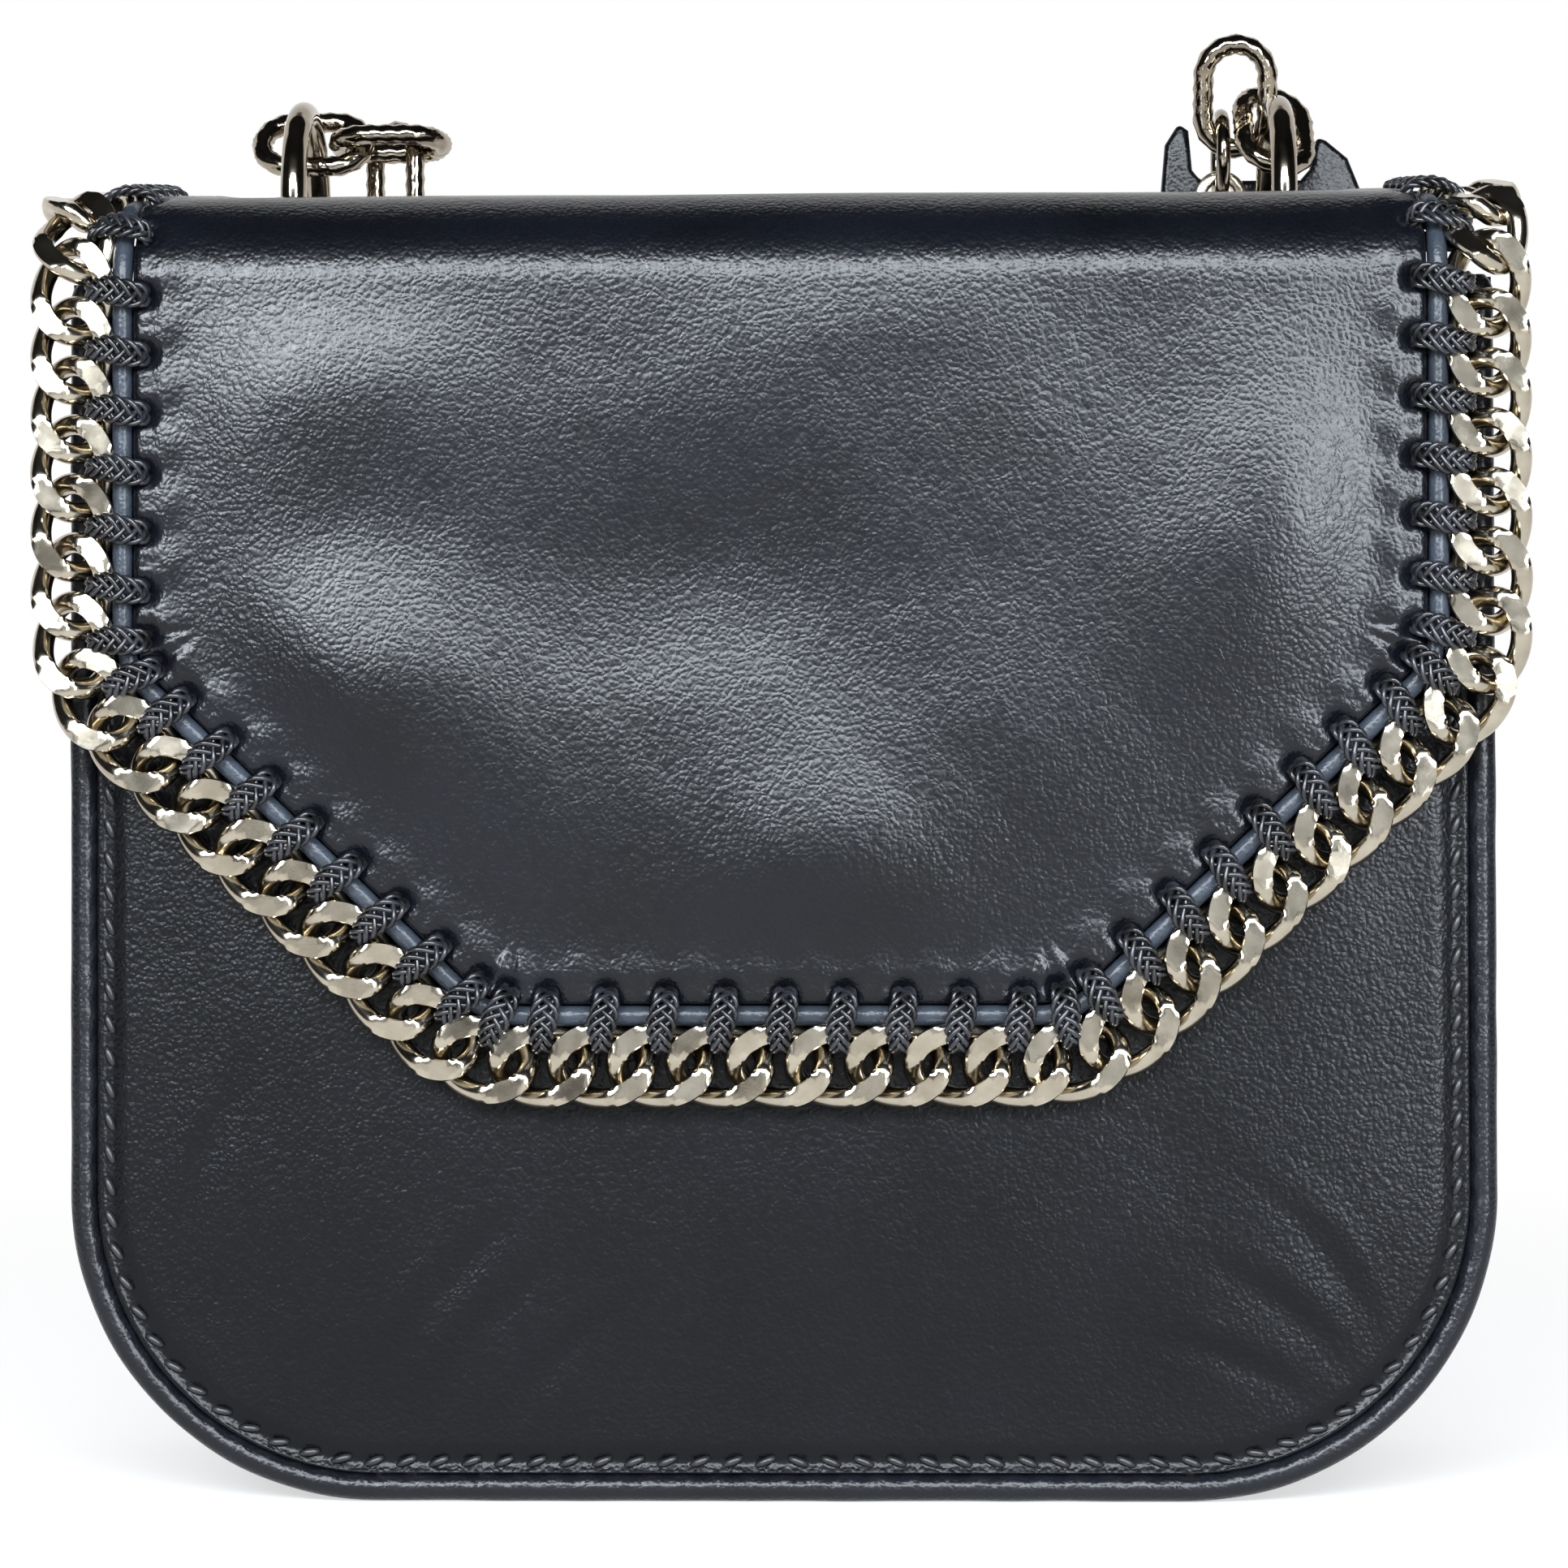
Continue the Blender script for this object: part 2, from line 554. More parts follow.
def makeSkin():
    grid, faces, topRow = flapGrid(skin["edgeColumns"], skin["bottomSteps"], skin["sideStep"])
    x = grid["x"]
    points = flapPoint(x, grid["v"], flap["thick"] / 2 + flapRise(**grid))
    backPoints = backRows(x[topRow] / np.abs(x[topRow]).max())
    rows = np.arange(backPoints.shape[0] * backPoints.shape[1]).reshape(backPoints.shape[:2]) + len(points)
    faces += gridFaces(np.vstack([topRow, rows]))
    piece = newPiece("bagSkin", np.concatenate([points, backPoints.reshape(-1, 3)]), faces, calfLeather)
    thicken(piece, skin["leather"])
    finishPiece(piece, None, ["back_panel", "flap_leather"])
    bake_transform(piece)


makeSkin()

liner = dict(columns=[1.9, 1.5, 1, 0, -2, -4.5, -7], bottomSteps=36, sideStep=1.8, thick=1.0, drop=0.6,
             edgeDrop=0.25, waves=0.06)


def makeLiner():
    # the flap's inner leather, which closes the turned edge behind the board
    grid, faces, _ = flapGrid(liner["columns"], liner["bottomSteps"], liner["sideStep"])
    x, v, out = grid["x"], grid["v"], grid["out"]
    height = -liner["drop"] - liner["edgeDrop"] * easeStep(out, 0.6, 1.9)
    height = height + liner["waves"] * ripples(x, v, 30, 4) * (out < -2)
    piece = newPiece("flapLiner", flapPoint(x, v, height), faces, linerLeather)
    thicken(piece, liner["thick"])
    finishPiece(piece, "flap", ["flap_lining"])


makeLiner()

panel = dict(thick=1.8, columns=125, crown=1.25, crownFade=17, grooveAt=1.3, grooveDepth=0.75,
             grooveWidth=1.25, waves=[(0.22, 48, 11), (0.06, 17, 12)], creaseWidth=1.3, creaseBend=0.012)
# creases of the lower front: x, z, heading in degrees, length, height
panel["creases"] = [(-41, 27, 52, 9, -0.3), (-36, 22, 48, 11, -0.28), (-31, 29, 58, 8, -0.22),
                    (-27, 18, 44, 10, -0.26), (61, 24, -38, 9, -0.3), (66, 31, -52, 10, -0.26),
                    (56, 17, -24, 9, -0.25), (-70, 44, 70, 9, -0.2)]


def panelSwell(x, z):
    depth = np.maximum(outlineDepth(x, z, bag["panelInset"]), 0)
    rise = panel["crown"] * (1 - bump(depth, panel["crownFade"])) * (1 - 0.55 * easeStep(z, 90, 120))
    rise = rise - panel["grooveDepth"] * bump(depth - panel["grooveAt"], panel["grooveWidth"])
    waves = sum(height * ripples(x, z, length, seed) for height, length, seed in panel["waves"])
    rise = rise + waves * (1 - bump(depth, 9))
    for creaseX, creaseZ, heading, length, size in panel["creases"]:
        cos, sin = math.cos(math.radians(heading)), math.sin(math.radians(heading))
        along = (x - creaseX) * cos + (z - creaseZ) * sin
        aside = -(x - creaseX) * sin + (z - creaseZ) * cos + along ** 2 * panel["creaseBend"]
        furrow = bump(aside, panel["creaseWidth"]) - 0.6 * bump(aside - 3, 1.8)  # with a ridge beside it
        rise = rise + size * bump(along, length) * furrow
    return rise


def makeFrontPanel():
    widths, heights = outlineRows(bag["panelInset"], bag["frontHeight"], 44, 1.35)
    shares = columnShares(panel["columns"])
    x = widths[:, None] * shares
    z = np.repeat(heights[:, None], len(shares), 1)
    grid = np.stack([x, -bag["halfDepth"] - panelSwell(x, z), z], -1)
    piece = joinGrids("frontPanel", [grid], bodyLeather)
    thicken(piece, panel["thick"])
    finishPiece(piece, "bag_body", ["front_panel"])


makeFrontPanel()


def band(inset, top, halfDepth, step, columns, hollow, fold, waves=0):
    # a strip round the sides and base, pulled in between its edges, with a fold up the middle of each side
    x, z, normalX, normalZ, s = outlineLine(inset, top, step)
    across = np.linspace(-halfDepth, halfDepth, columns)
    share = across / halfDepth
    depth = hollow * (1 - share ** 2) + fold * np.exp(-(share / 0.3) ** 2) * easeStep(z, 70, 150)[:, None]
    depth += waves * ripples(s[:, None] + across * 0, across + s[:, None] * 0, 30, 9) * (1 - share ** 2)
    return np.stack([x[:, None] - normalX[:, None] * depth, np.broadcast_to(across, depth.shape),
                     z[:, None] - normalZ[:, None] * depth], -1)


gusset = dict(thick=1.4, step=1.6, columns=33, hollow=0.35, fold=0.7, waves=0.12)


def makeGusset():
    grid = band(0, bag["frontHeight"], bag["gussetHalf"], gusset["step"], gusset["columns"],
                gusset["hollow"], gusset["fold"], gusset["waves"])
    piece = joinGrids("gussetStrip", [grid], bodyLeather)
    thicken(piece, gusset["thick"])
    finishPiece(piece, "bag_body", ["gusset"])


makeGusset()

bead = dict(step=0.8, sides=18, unevenness=0.03, pull=0.22, pullWidth=0.7, endShares=(0.45, 0.8, 0.95))
stitch = dict(pitch=4, length=2.9, inset=5.0, slant=22, lift=0.28, sink=0.62, radius=0.44, ends=0.06)


def makeBead(name, y, top, node):
    # leather rolled over a core and pulled in by each stitch
    x, z, normalX, normalZ, s = outlineLine(bag["beadRadius"], top, bead["step"])
    path = np.stack([x, np.full_like(x, y), z], -1)
    outward = np.stack([normalX, np.zeros_like(x), normalZ], -1)
    angles = np.linspace(0, 2 * math.pi, bead["sides"], endpoint=False)
    # angle 0 faces out of the outline: the stitches pull on the side towards the panel
    towardPanel = np.exp(-((np.abs(angles - math.pi) - 0.5) / bead["pullWidth"]) ** 2)
    pulled = 0.5 + 0.5 * np.cos((np.abs(s) - stitch["pitch"] / 2) / stitch["pitch"] * 2 * math.pi)
    radius = bag["beadRadius"] * (1 + bead["unevenness"] * ripples(s, s * 0, 14, 2))[:, None]
    radius = radius - bead["pull"] * pulled[:, None] * towardPanel
    for row, share in enumerate(bead["endShares"]):  # rounded ends
        radius[[row, -1 - row]] *= share
    grid = tubeGrid(path, radius, bead["sides"], side=outward)
    piece = joinGrids(name, [grid], edgeLeather, loopCols=True, caps=True)
    finishPiece(piece, "bag_body", [node])


def makeStitches(name, side, top, node):
    # slanted saddle stitches, each sunk at both ends
    x, z, _, _, s = outlineLine(stitch["inset"], top, 0.5)
    pitch, half = stitch["pitch"], stitch["length"] / 2
    t = np.linspace(-1, 1, 7)
    grids = []
    for direction in (-1, 1):
        for at in np.arange(pitch / 2, s[-1] - pitch, pitch):
            here = at * direction
            centre = np.array([np.interp(here, s, x), np.interp(here, s, z)])
            ahead = np.array([np.interp(here + 0.5, s, x), np.interp(here + 0.5, s, z)]) - centre
            heading = math.atan2(ahead[1], ahead[0]) - direction * math.radians(stitch["slant"])
            px = centre[0] + t * math.cos(heading) * half
            pz = centre[1] + t * math.sin(heading) * half
            surface = panelSwell(px, pz) if side < 0 else -0.5 + 0 * px  # the back's own groove
            lift = stitch["lift"] - stitch["sink"] * t ** 4
            path = np.stack([px, side * (bag["halfDepth"] + surface + lift), pz], -1)
            grids.append(stitchTube(path, t, stitch["radius"], stitch["ends"]))
    piece = joinGrids(name, grids, blackThread, loopCols=True, caps=True)
    finishPiece(piece, "bag_body", [node])


makeBead("frontBead", bag["beadRadius"] - bag["halfDepth"], bag["frontHeight"], "front_edge_bead")
makeBead("backBead", bag["halfDepth"] - bag["beadRadius"], backTop, "back_edge_bead")
makeStitches("frontStitches", -1, bag["frontHeight"], "front_stitching")
makeStitches("backStitches", 1, backTop, "back_stitching")

# the lining and its slip pocket
inside = dict(inset=3.1, top=144.6, halfDepth=26.1, cloth=0.8, slack=0.25, hollow=0.2, fold=0.6,
              pocketHalf=55, pocketLow=58, pocketHeight=70, pocketDepth=2.3, pocketRows=29, pocketColumns=41)


def makeLining():
    grids = []
    widths, heights = outlineRows(inside["inset"], inside["top"], 16, 3.5)
    shares = columnShares(45)
    x = widths[:, None] * shares
    z = np.repeat(heights[:, None], len(shares), 1)
    depth = np.maximum(outlineDepth(x, z, inside["inset"]), 0)
    for side in (-1, 1):
        slack = inside["slack"] * (1 + ripples(x, z, 35, 13 + side)) * (1 - bump(depth, 8))
        wall = np.stack([x, side * (inside["halfDepth"] - slack), z], -1)
        grids.append(wall if side < 0 else wall[:, ::-1])
    grids.append(band(inside["inset"], inside["top"], inside["halfDepth"], 3, 19,
                      inside["hollow"], inside["fold"]))
    piece = joinGrids("bagLining", grids, liningTwill)
    thicken(piece, inside["cloth"])
    finishPiece(piece, "bag_body", ["lining"])


def makePocket():
    # slip pocket sewn to the lining on three sides, its mouth a little open
    rows, columns = inside["pocketRows"], inside["pocketColumns"]
    across, up = columnShares(columns), np.linspace(0, 1, rows)
    x = inside["pocketHalf"] * across[None, :] * np.ones((rows, 1))
    z = inside["pocketLow"] + inside["pocketHeight"] * up[:, None] * np.ones((1, columns))
    edge = np.minimum((1 - np.abs(across))[None, :] * inside["pocketHalf"],
                      up[:, None] * inside["pocketHeight"])
    lift = 0.9 + (inside["pocketDepth"] - 1.0) * (1 - np.exp(-(edge / 7) ** 2))
    lift = lift + 0.12 * ripples(x, z, 22, 31) * (1 - np.exp(-(edge / 9) ** 2))
    y = inside["halfDepth"] - inside["cloth"] - 0.05 - lift
    piece = joinGrids("slipPocket", [np.stack([x, y, z], -1)], liningTwill)
    thicken(piece, inside["cloth"])
    finishPiece(piece, "bag_body", ["inner_pocket"])


makeLining()
makePocket()

edgeCord = dict(out=3.3, radius=1.28, nip=0.14, nipWidth=1.7, steps=620, sides=12)


def makeEdgeCord():
    # the cord along the flap's edge, nipped by each stitch of the lacing
    s = np.linspace(-runs[4] + 1, runs[4] - 1, edgeCord["steps"])
    x, v = edgePoint(s, edgeCord["out"])
    near = np.abs((s / flap["pitch"] + 0.5) % 1 - 0.5) * flap["pitch"]
    radius = edgeCord["radius"] - edgeCord["nip"] * bump(near, edgeCord["nipWidth"])
    radius[[0, -1]] *= 0.5
    grid = tubeGrid(flapPoint(x, v, 0), radius, edgeCord["sides"])
    piece = joinGrids("edgeCord", [grid], cordLeather, loopCols=True, caps=True)
    finishPiece(piece, "flap", ["flap_edge_cord"])


makeEdgeCord()

lace = dict(slant=0.75, strands=5, strandRadius=0.34, wave=0.34, cycle=7.4, steps=54, sides=6)
# the lacing's way round the edge: out from the holes, height, width of the braid
lace["route"] = [(0.2, 0.2, 2.6), (0.9, 2.25, 3.2), (3.3, 2.75, 3.9), (5.3, 2.35, 3.5), (6.9, 1.3, 2.7),
                 (7.35, 0, 2.4), (6.9, -1.3, 2.5), (5.3, -2.3, 2.8), (3.3, -2.6, 3.2), (1.0, -2.5, 3.0),
                 (0.2, -1.5, 2.6)]


def closedSpline(points, steps):
    # Catmull-Rom through the points, evenly spread over their spans
    points = np.asarray(points, float)
    count = len(points)
    t = np.linspace(0, count, steps, endpoint=False)
    i, f = t.astype(int), (t % 1)[:, None]
    a, b, c, d = (points[(i + k) % count] for k in (-1, 0, 1, 2))
    square, cube = 2 * a - 5 * b + 4 * c - d, 3 * b - a - 3 * c + d
    return 0.5 * (2 * b + (c - a) * f + square * f ** 2 + cube * f ** 3)


def makeLacing():
    route = closedSpline(lace["route"], lace["steps"])
    out, height, width = route.T
    along = np.roll(route[:, :2], -1, 0) - np.roll(route[:, :2], 1, 0)
    along /= np.linalg.norm(along, axis=1)[:, None]
    spans = np.hypot(*(np.roll(route, -1, 0) - route)[:, :2].T)
    length, total = np.concatenate([[0], np.cumsum(spans[:-1])]), spans.sum()
    cycles = round(total / lace["cycle"])
    strands = []
    for k in range(lace["strands"]):
        phase = 2 * math.pi * (length / total * cycles + k / lace["strands"])
        aside = (width / 2 - lace["strandRadius"]) * np.sin(phase)
        lift = lace["wave"] * np.sin(2 * phase)
        lean = lace["slant"] * (1 - easeStep(out, 0.5, 6)) + aside
        # along the edge, down into the leather, and back from the edge
        strands.append(np.stack([lean, -height - along[:, 0] * lift, along[:, 1] * lift - out], -1))
    grids = []
    for i in range(-flap["stitches"], flap["stitches"] + 1):
        place = np.array(onEdge(i * flap["pitch"], 0))
        for path in strands:
            world = path @ place[:3, :3].T + place[:3, 3]
            grids.append(tubeGrid(world, lace["strandRadius"], lace["sides"], closed=True))
    piece = joinGrids("braidedLacing", grids, waxedBraid, loopRows=True, loopCols=True)
    finishPiece(piece, "flap", ["flap_lacing"])


makeLacing()


def bendWire(name, centreLine, wire, majors, minors, shape=None):
    # a torus drawn out along a closed line: centreLine(t) gives its points, shape(t, angle) its section
    ring = 5
    bpy.ops.object.select_all(action="DESELECT")
    bpy.ops.mesh.primitive_torus_add(major_segments=majors, minor_segments=minors, major_radius=ring * mm,
                                     minor_radius=wire / 2 * mm)
    link = bpy.context.object
    link.name = name
    points = readPoints(link)
    t = np.arctan2(points[:, 1], points[:, 0])
    aside, up = np.hypot(points[:, 0], points[:, 1]) - ring, points[:, 2]
    size = np.ones(len(t)) if shape is None else shape(t, np.arctan2(up, aside))
    centre = centreLine(t)
    along = centreLine(t + 0.01) - centreLine(t - 0.01)
    along /= np.linalg.norm(along, axis=1)[:, None]
    raised = np.array([0, 0, 1.0]) - along * along[:, 2:]
    raised /= np.linalg.norm(raised, axis=1)[:, None]
    outward = np.cross(along, raised)
    writePoints(link, centre + outward * (aside * size)[:, None] + raised * (up * size)[:, None])
    link.data.shade_smooth()
    return link


trim = dict(halfLength=5.4, halfWidth=4.0, twist=1.55, wire=2.6, flat=1.86, loose=3.5)


def makeTrimChain():
    # diamond-cut curb link: twisted, then filed flat on both faces
    def line(t):
        return np.stack([trim["halfLength"] * np.cos(t), trim["halfWidth"] * np.sin(t),
                         -trim["twist"] * np.sin(2 * t)], -1)
    link = bendWire("curbLink", line, trim["wire"], 60, 14)
    points = readPoints(link)
    points[:, 2] = np.clip(points[:, 2], -trim["flat"], trim["flat"])
    writePoints(link, points)
    draw, loose, places = random.Random(5), trim["loose"], []
    for i in range(-flap["stitches"], flap["stitches"] + 1):  # each link hangs a little its own way
        places.append(onEdge(i * flap["pitch"], flap["trimOut"]) @ turn(90, "X")
                      @ turn(draw.uniform(-loose, loose), "X") @ turn(draw.uniform(-loose, loose), "Y"))
    piece = copyOut("trimChain", link, places, paleGold)
    removePiece(link)
    finishPiece(piece, "flap", ["flap_chain"], angle=28)


makeTrimChain()

# rings and strap chain; leans are degrees back from upright
strap = dict(halfLength=7.1, halfWidth=4.4, wire=2.8, pitch=10.6, ringX=66, ringY=28, ringZ=167.5,
             ringRadius=12.5, ringWire=3.5, pivotY=40.054, pivotZ=176.738, leftX=-55.2, rightX=61.3,
             outerX=66.55, floorZ=4.5613, hang=3.2, hookWire=3.0, legLinks=18, padLinks=9, bightLinks=18,
             leftLean=38, leftFold=60, outerReach=14.67, outerLean=40.4, outerRoll=15.5, innerLean=-16)
strap["legTop"] = strap["pivotZ"] + strap["hang"] - strap["halfLength"]
strap["floorRadius"] = (((strap["legLinks"] - 0.5) * strap["pitch"] - strap["legTop"] + strap["floorZ"])
                        / (math.pi / 2 - 1))
strap["floorArc"] = strap["floorRadius"] * math.pi / 2
strap["bightX"] = (strap["rightX"] + strap["leftX"]) / 2
strap["bightRadius"] = (strap["rightX"] - strap["leftX"]) / 2
strap["bightY"] = strap["pivotY"] + strap["floorRadius"]
strap["bightStraight"] = (strap["bightLinks"] * strap["pitch"] - math.pi * strap["bightRadius"]) / 2


def stadium(t):
    # the long oval of a chain link: a quarter bow, a side, a bow, a side and a quarter bow
    flat, radius = strap["halfLength"] - strap["halfWidth"], strap["halfWidth"]
    quarter, side = radius * math.pi / 2, 2 * flat
    a = (np.asarray(t) / (2 * math.pi) % 1) * (4 * quarter + 2 * side)
    top, left, low = quarter + side, 3 * quarter + side, 3 * quarter + 2 * side
    parts = [a < quarter, a < top, a < left, a < low]
    angle = np.select(parts, [a / radius, math.pi / 2, math.pi / 2 + (a - top) / radius, 1.5 * math.pi],
                      1.5 * math.pi + (a - low) / radius)
    middle = np.select(parts, [flat, flat - (a - quarter), -flat, -flat + (a - left)], flat)
    return np.stack([middle + radius * np.cos(angle), radius * np.sin(angle), 0 * a], -1)


def cutRope(t, angle):
    # the wire is cut in a rising spiral of facets
    return 1.0 - 0.13 * np.abs(np.sin(1.5 * angle + 9 * t)) ** 1.1


def linkTwist(i):
    return -45 if i % 2 == 0 else 45


def legPlace(x, i, twist):
    # link i of a leg, counted from the floor up: first round the bend at its foot, then upright
    s = (i + 0.5) * strap["pitch"]
    angle = 90 - math.degrees(min(s, strap["floorArc"]) / strap["floorRadius"])
    y = strap["bightY"] - strap["floorRadius"] * math.cos(math.radians(angle))
    z = strap["floorZ"] + strap["floorRadius"] * (1 - math.sin(math.radians(angle)))
    z += max(0, s - strap["floorArc"])
    return shift(x, y, z) @ turn(angle, "X") @ turn(-90, "Y") @ turn(twist, "X") @ turn(90, "X")


def bightPlace(i):
    # link i of the loop on the floor, counted from the left leg
    s = (i + 0.5) * strap["pitch"]
    radius, straight = strap["bightRadius"], strap["bightStraight"]
    arc = math.pi * radius
    angle = min(max(0, s - straight), arc) / radius
    run = min(s, straight) - max(0, s - straight - arc)
    place = shift(strap["bightX"] - radius * math.cos(angle),
                  strap["bightY"] + run + radius * math.sin(angle), strap["floorZ"])
    return place @ turn(90 - math.degrees(angle), "Z") @ turn(linkTwist(i), "X") @ turn(90, "X")


def leanPlace(x, y, z, reach, lean):
    lean = math.radians(lean)
    return shift(x, y + reach * math.sin(lean), z + reach * math.cos(lean))


def makeStrap():
    strapLink = bendWire("strapLink", stadium, strap["wire"], 80, 12, cutRope)
    hookLink = bendWire("hookLink", stadium, strap["hookWire"], 80, 16, cutRope)
    leftHook = [leanPlace(strap["pitch"] * i - strap["ringX"], strap["ringY"], strap["ringZ"],
                          strap["ringRadius"], strap["leftLean"])
                @ turn(-strap["leftLean"] - strap["leftFold"] * i, "X") @ turn(90, "X") for i in (0, 1)]
    rightHook = [leanPlace(strap["outerX"], strap["ringY"], strap["ringZ"], strap["outerReach"],
                           strap["outerLean"])
                 @ turn(-strap["outerLean"], "X") @ turn(-90, "Y") @ turn(strap["outerRoll"], "X")
                 @ turn(90, "X"),
                 leanPlace(strap["rightX"], strap["pivotY"], strap["pivotZ"], strap["halfLength"],
                           strap["innerLean"])
                 @ turn(-strap["innerLean"], "X") @ turn(-90, "Y") @ turn(90, "X")]
    leftLeg = [legPlace(strap["leftX"], i, -linkTwist(i)) for i in range(strap["legLinks"])]
    rightLeg = [legPlace(strap["rightX"], i, -linkTwist(strap["bightLinks"] + i))
                for i in range(strap["padLinks"])]
    floorPart = [bightPlace(i) for i in range(strap["bightLinks"])]
    for name, link, places, body, node in (
            ("leftHookLinks", hookLink, leftHook, "end_links", "end_links_left"),
            ("rightHookLinks", hookLink, rightHook, "end_links", "end_links_right"),
            ("leftLegChain", strapLink, leftLeg, "strap_legs", "strap_chain_left"),
            ("rightLegChain", strapLink, rightLeg, "strap_legs", "strap_chain_right"),
            ("floorChain", strapLink, floorPart, "strap_bight", "strap_chain_bight")):
        finishPiece(copyOut(name, link, places, ringGold), body, [node], angle=40)
    removePiece(strapLink)
    removePiece(hookLink)


makeStrap()


def makeRing(name, places, radius, wire, body, node):
    # bent from round bar, its joint welded and polished to a faint swelling
    def line(t):
        return np.stack([radius * np.cos(t), radius * np.sin(t), 0 * t], -1)

    def weld(t, angle):
        return 1 + 0.05 * bump(np.abs(t) - 2.4, 0.05)
    ring = bendWire("bentRing", line, wire, 112, 20, weld)
    finishPiece(copyOut(name, ring, places, ringGold), body, [node])
    removePiece(ring)


for sideName, side in (("left", -1), ("right", 1)):
    ringPlace = shift(side * strap["ringX"], strap["ringY"], strap["ringZ"]) @ turn(90, "Y")
    makeRing(sideName + "StrapRing", [ringPlace], strap["ringRadius"], strap["ringWire"],
             "ring_" + sideName, "strap_ring_" + sideName)


def spinProfile(name, profile, steps):
    # a lathe: the profile (radius, height) is spun round Z and closed
    mesh = bpy.data.meshes.new(name)
    loop = [(r * mm, 0, h * mm) for r, h in profile]
    mesh.from_pydata(loop, [(i, (i + 1) % len(loop)) for i in range(len(loop))], [])
    piece = bpy.data.objects.new(name, mesh)
    bpy.context.scene.collection.objects.link(piece)
    useOnly(piece)
    bpy.ops.object.mode_set(mode="EDIT")
    bpy.ops.mesh.select_all(action="SELECT")
    bpy.ops.mesh.spin(steps=steps, angle=2 * math.pi, center=(0, 0, 0), axis=(0, 0, 1))
    bpy.ops.mesh.select_all(action="SELECT")
    bpy.ops.mesh.remove_doubles(threshold=0.000002)
    bpy.ops.mesh.normals_make_consistent(inside=False)
    bpy.ops.object.mode_set(mode="OBJECT")
    mesh.shade_smooth()
    return piece


eyelet = dict(hole=2.4, flange=4.4, thick=0.75, panel=1.8, topY=15.8, backZ=155.1, steps=40)


def makeEyelets():
    # brass eyelets set from both faces: domed flange, rolled lip, spread barrel behind
    hole, flange, thick, behind = eyelet["hole"], eyelet["flange"], eyelet["thick"], -eyelet["panel"]
    profile = [(hole, behind), (hole, 0.25), (hole + 0.12, 0.6), (hole + 0.5, thick),
               (hole + 1.0, thick - 0.08), (flange - 0.5, 0.3), (flange - 0.1, 0.12), (flange, -0.02),
               (hole + 0.5, -0.06), (hole + 0.5, behind + 0.05), (flange - 0.2, behind),
               (flange - 0.3, behind - 0.35), (hole + 0.6, behind - thick + 0.05),
               (hole + 0.15, behind - thick + 0.2)]
    ring = spinProfile("setEyelet", profile, eyelet["steps"])
    tops = [shift(side * strap["ringX"], eyelet["topY"], bag["height"]) for side in (-1, 1)]
    backs = [shift(side * strap["ringX"], bag["halfDepth"], eyelet["backZ"]) @ turn(-90, "X")
             for side in (-1, 1)]
    for name, places, node in (("topEyeletPair", tops, "top_eyelets"),
                               ("backEyeletPair", backs, "back_eyelets")):
        finishPiece(copyOut(name, ring, places, paleGold), "bag_body", [node], angle=35)
    removePiece(ring)


makeEyelets()

pad = dict(left=51.3, right=79.3, y=43.79, thick=2.2, top=180.74, notchLow=172.74, cornerRadius=6,
           holeX=(59.6, 61.3), eyeletRim=2.35, holeRadius=2.3, bevel=0.8, seamIn=2.2, sideStitches=26,
           lowStitches=5, stitchHalf=1.25, ringRadius=5.6, ringWire=2.0)
padLow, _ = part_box("shoulder_pad")
eyeletLow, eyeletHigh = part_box("pad_eyelets")
pad["low"] = padLow.z / mm
pad["holes"] = list(zip(pad["holeX"], (eyeletHigh.z / mm - pad["eyeletRim"],
                                       eyeletLow.z / mm + pad["eyeletRim"])))


def padOutline():
    # round lower corners, and two ears with a notch between them at the top
    left, right, low, top, notch = (pad[key] for key in ("left", "right", "low", "top", "notchLow"))
    radius = pad["cornerRadius"]
    corner = [(math.cos(a), math.sin(a)) for a in np.linspace(-math.pi / 2, 0, 9)]
    outline = [(right - radius + radius * c, low + radius + radius * s) for c, s in corner]
    outline += [(right - x, top - z) for x, z in ((0, 10), (2, 5), (5, 2.5), (6.35, 2.0), (7.0, 5))]
    outline += [(right - 7.3, notch + 1.5), (right - 8.6, notch)]
    outline += [(left + 5.6, notch), (left + 4.4, notch + 1.5)]
    outline += [(left + x, top - z) for x, z in ((3.9, 1), (2.5, 0), (0.6, 3), (0, 10))]
    return outline + [(left + radius - radius * c, low + radius + radius * s) for c, s in corner[::-1]]


def makeShoulderPad():
    # two layers of leather with a thin filler, edges rubbed round
    points = [(x, pad["y"] + pad["thick"] / 2, z) for x, z in padOutline()]
    piece = newPiece("shoulderLeather", points, [list(range(len(points)))], bodyLeather)
    useOnly(piece)
    bpy.ops.object.mode_set(mode="EDIT")
    bpy.ops.mesh.select_all(action="SELECT")
    bpy.ops.mesh.normals_make_consistent(inside=False)
    bpy.ops.mesh.extrude_region_move(TRANSFORM_OT_translate={"value": (0, -pad["thick"] * mm, 0)})
    bpy.ops.mesh.select_all(action="SELECT")
    bpy.ops.mesh.normals_make_consistent(inside=False)
    bpy.ops.object.mode_set(mode="OBJECT")
    applyModifier(piece, "BEVEL", width=pad["bevel"] * mm, segments=4, limit_method="ANGLE",
                  angle_limit=math.radians(50))
    for x, z in pad["holes"]:
        bpy.ops.object.select_all(action="DESELECT")
        bpy.ops.mesh.primitive_cylinder_add(vertices=32, radius=pad["holeRadius"] * mm, depth=8 * mm,
                                            location=(x * mm, pad["y"] * mm, z * mm),
                                            rotation=(math.pi / 2, 0, 0))
        cutter = bpy.context.object
        applyModifier(piece, "BOOLEAN", operation="DIFFERENCE", object=cutter, solver="EXACT")
        removePiece(cutter)
    finishPiece(piece, "strap_legs", ["shoulder_pad"], angle=30)


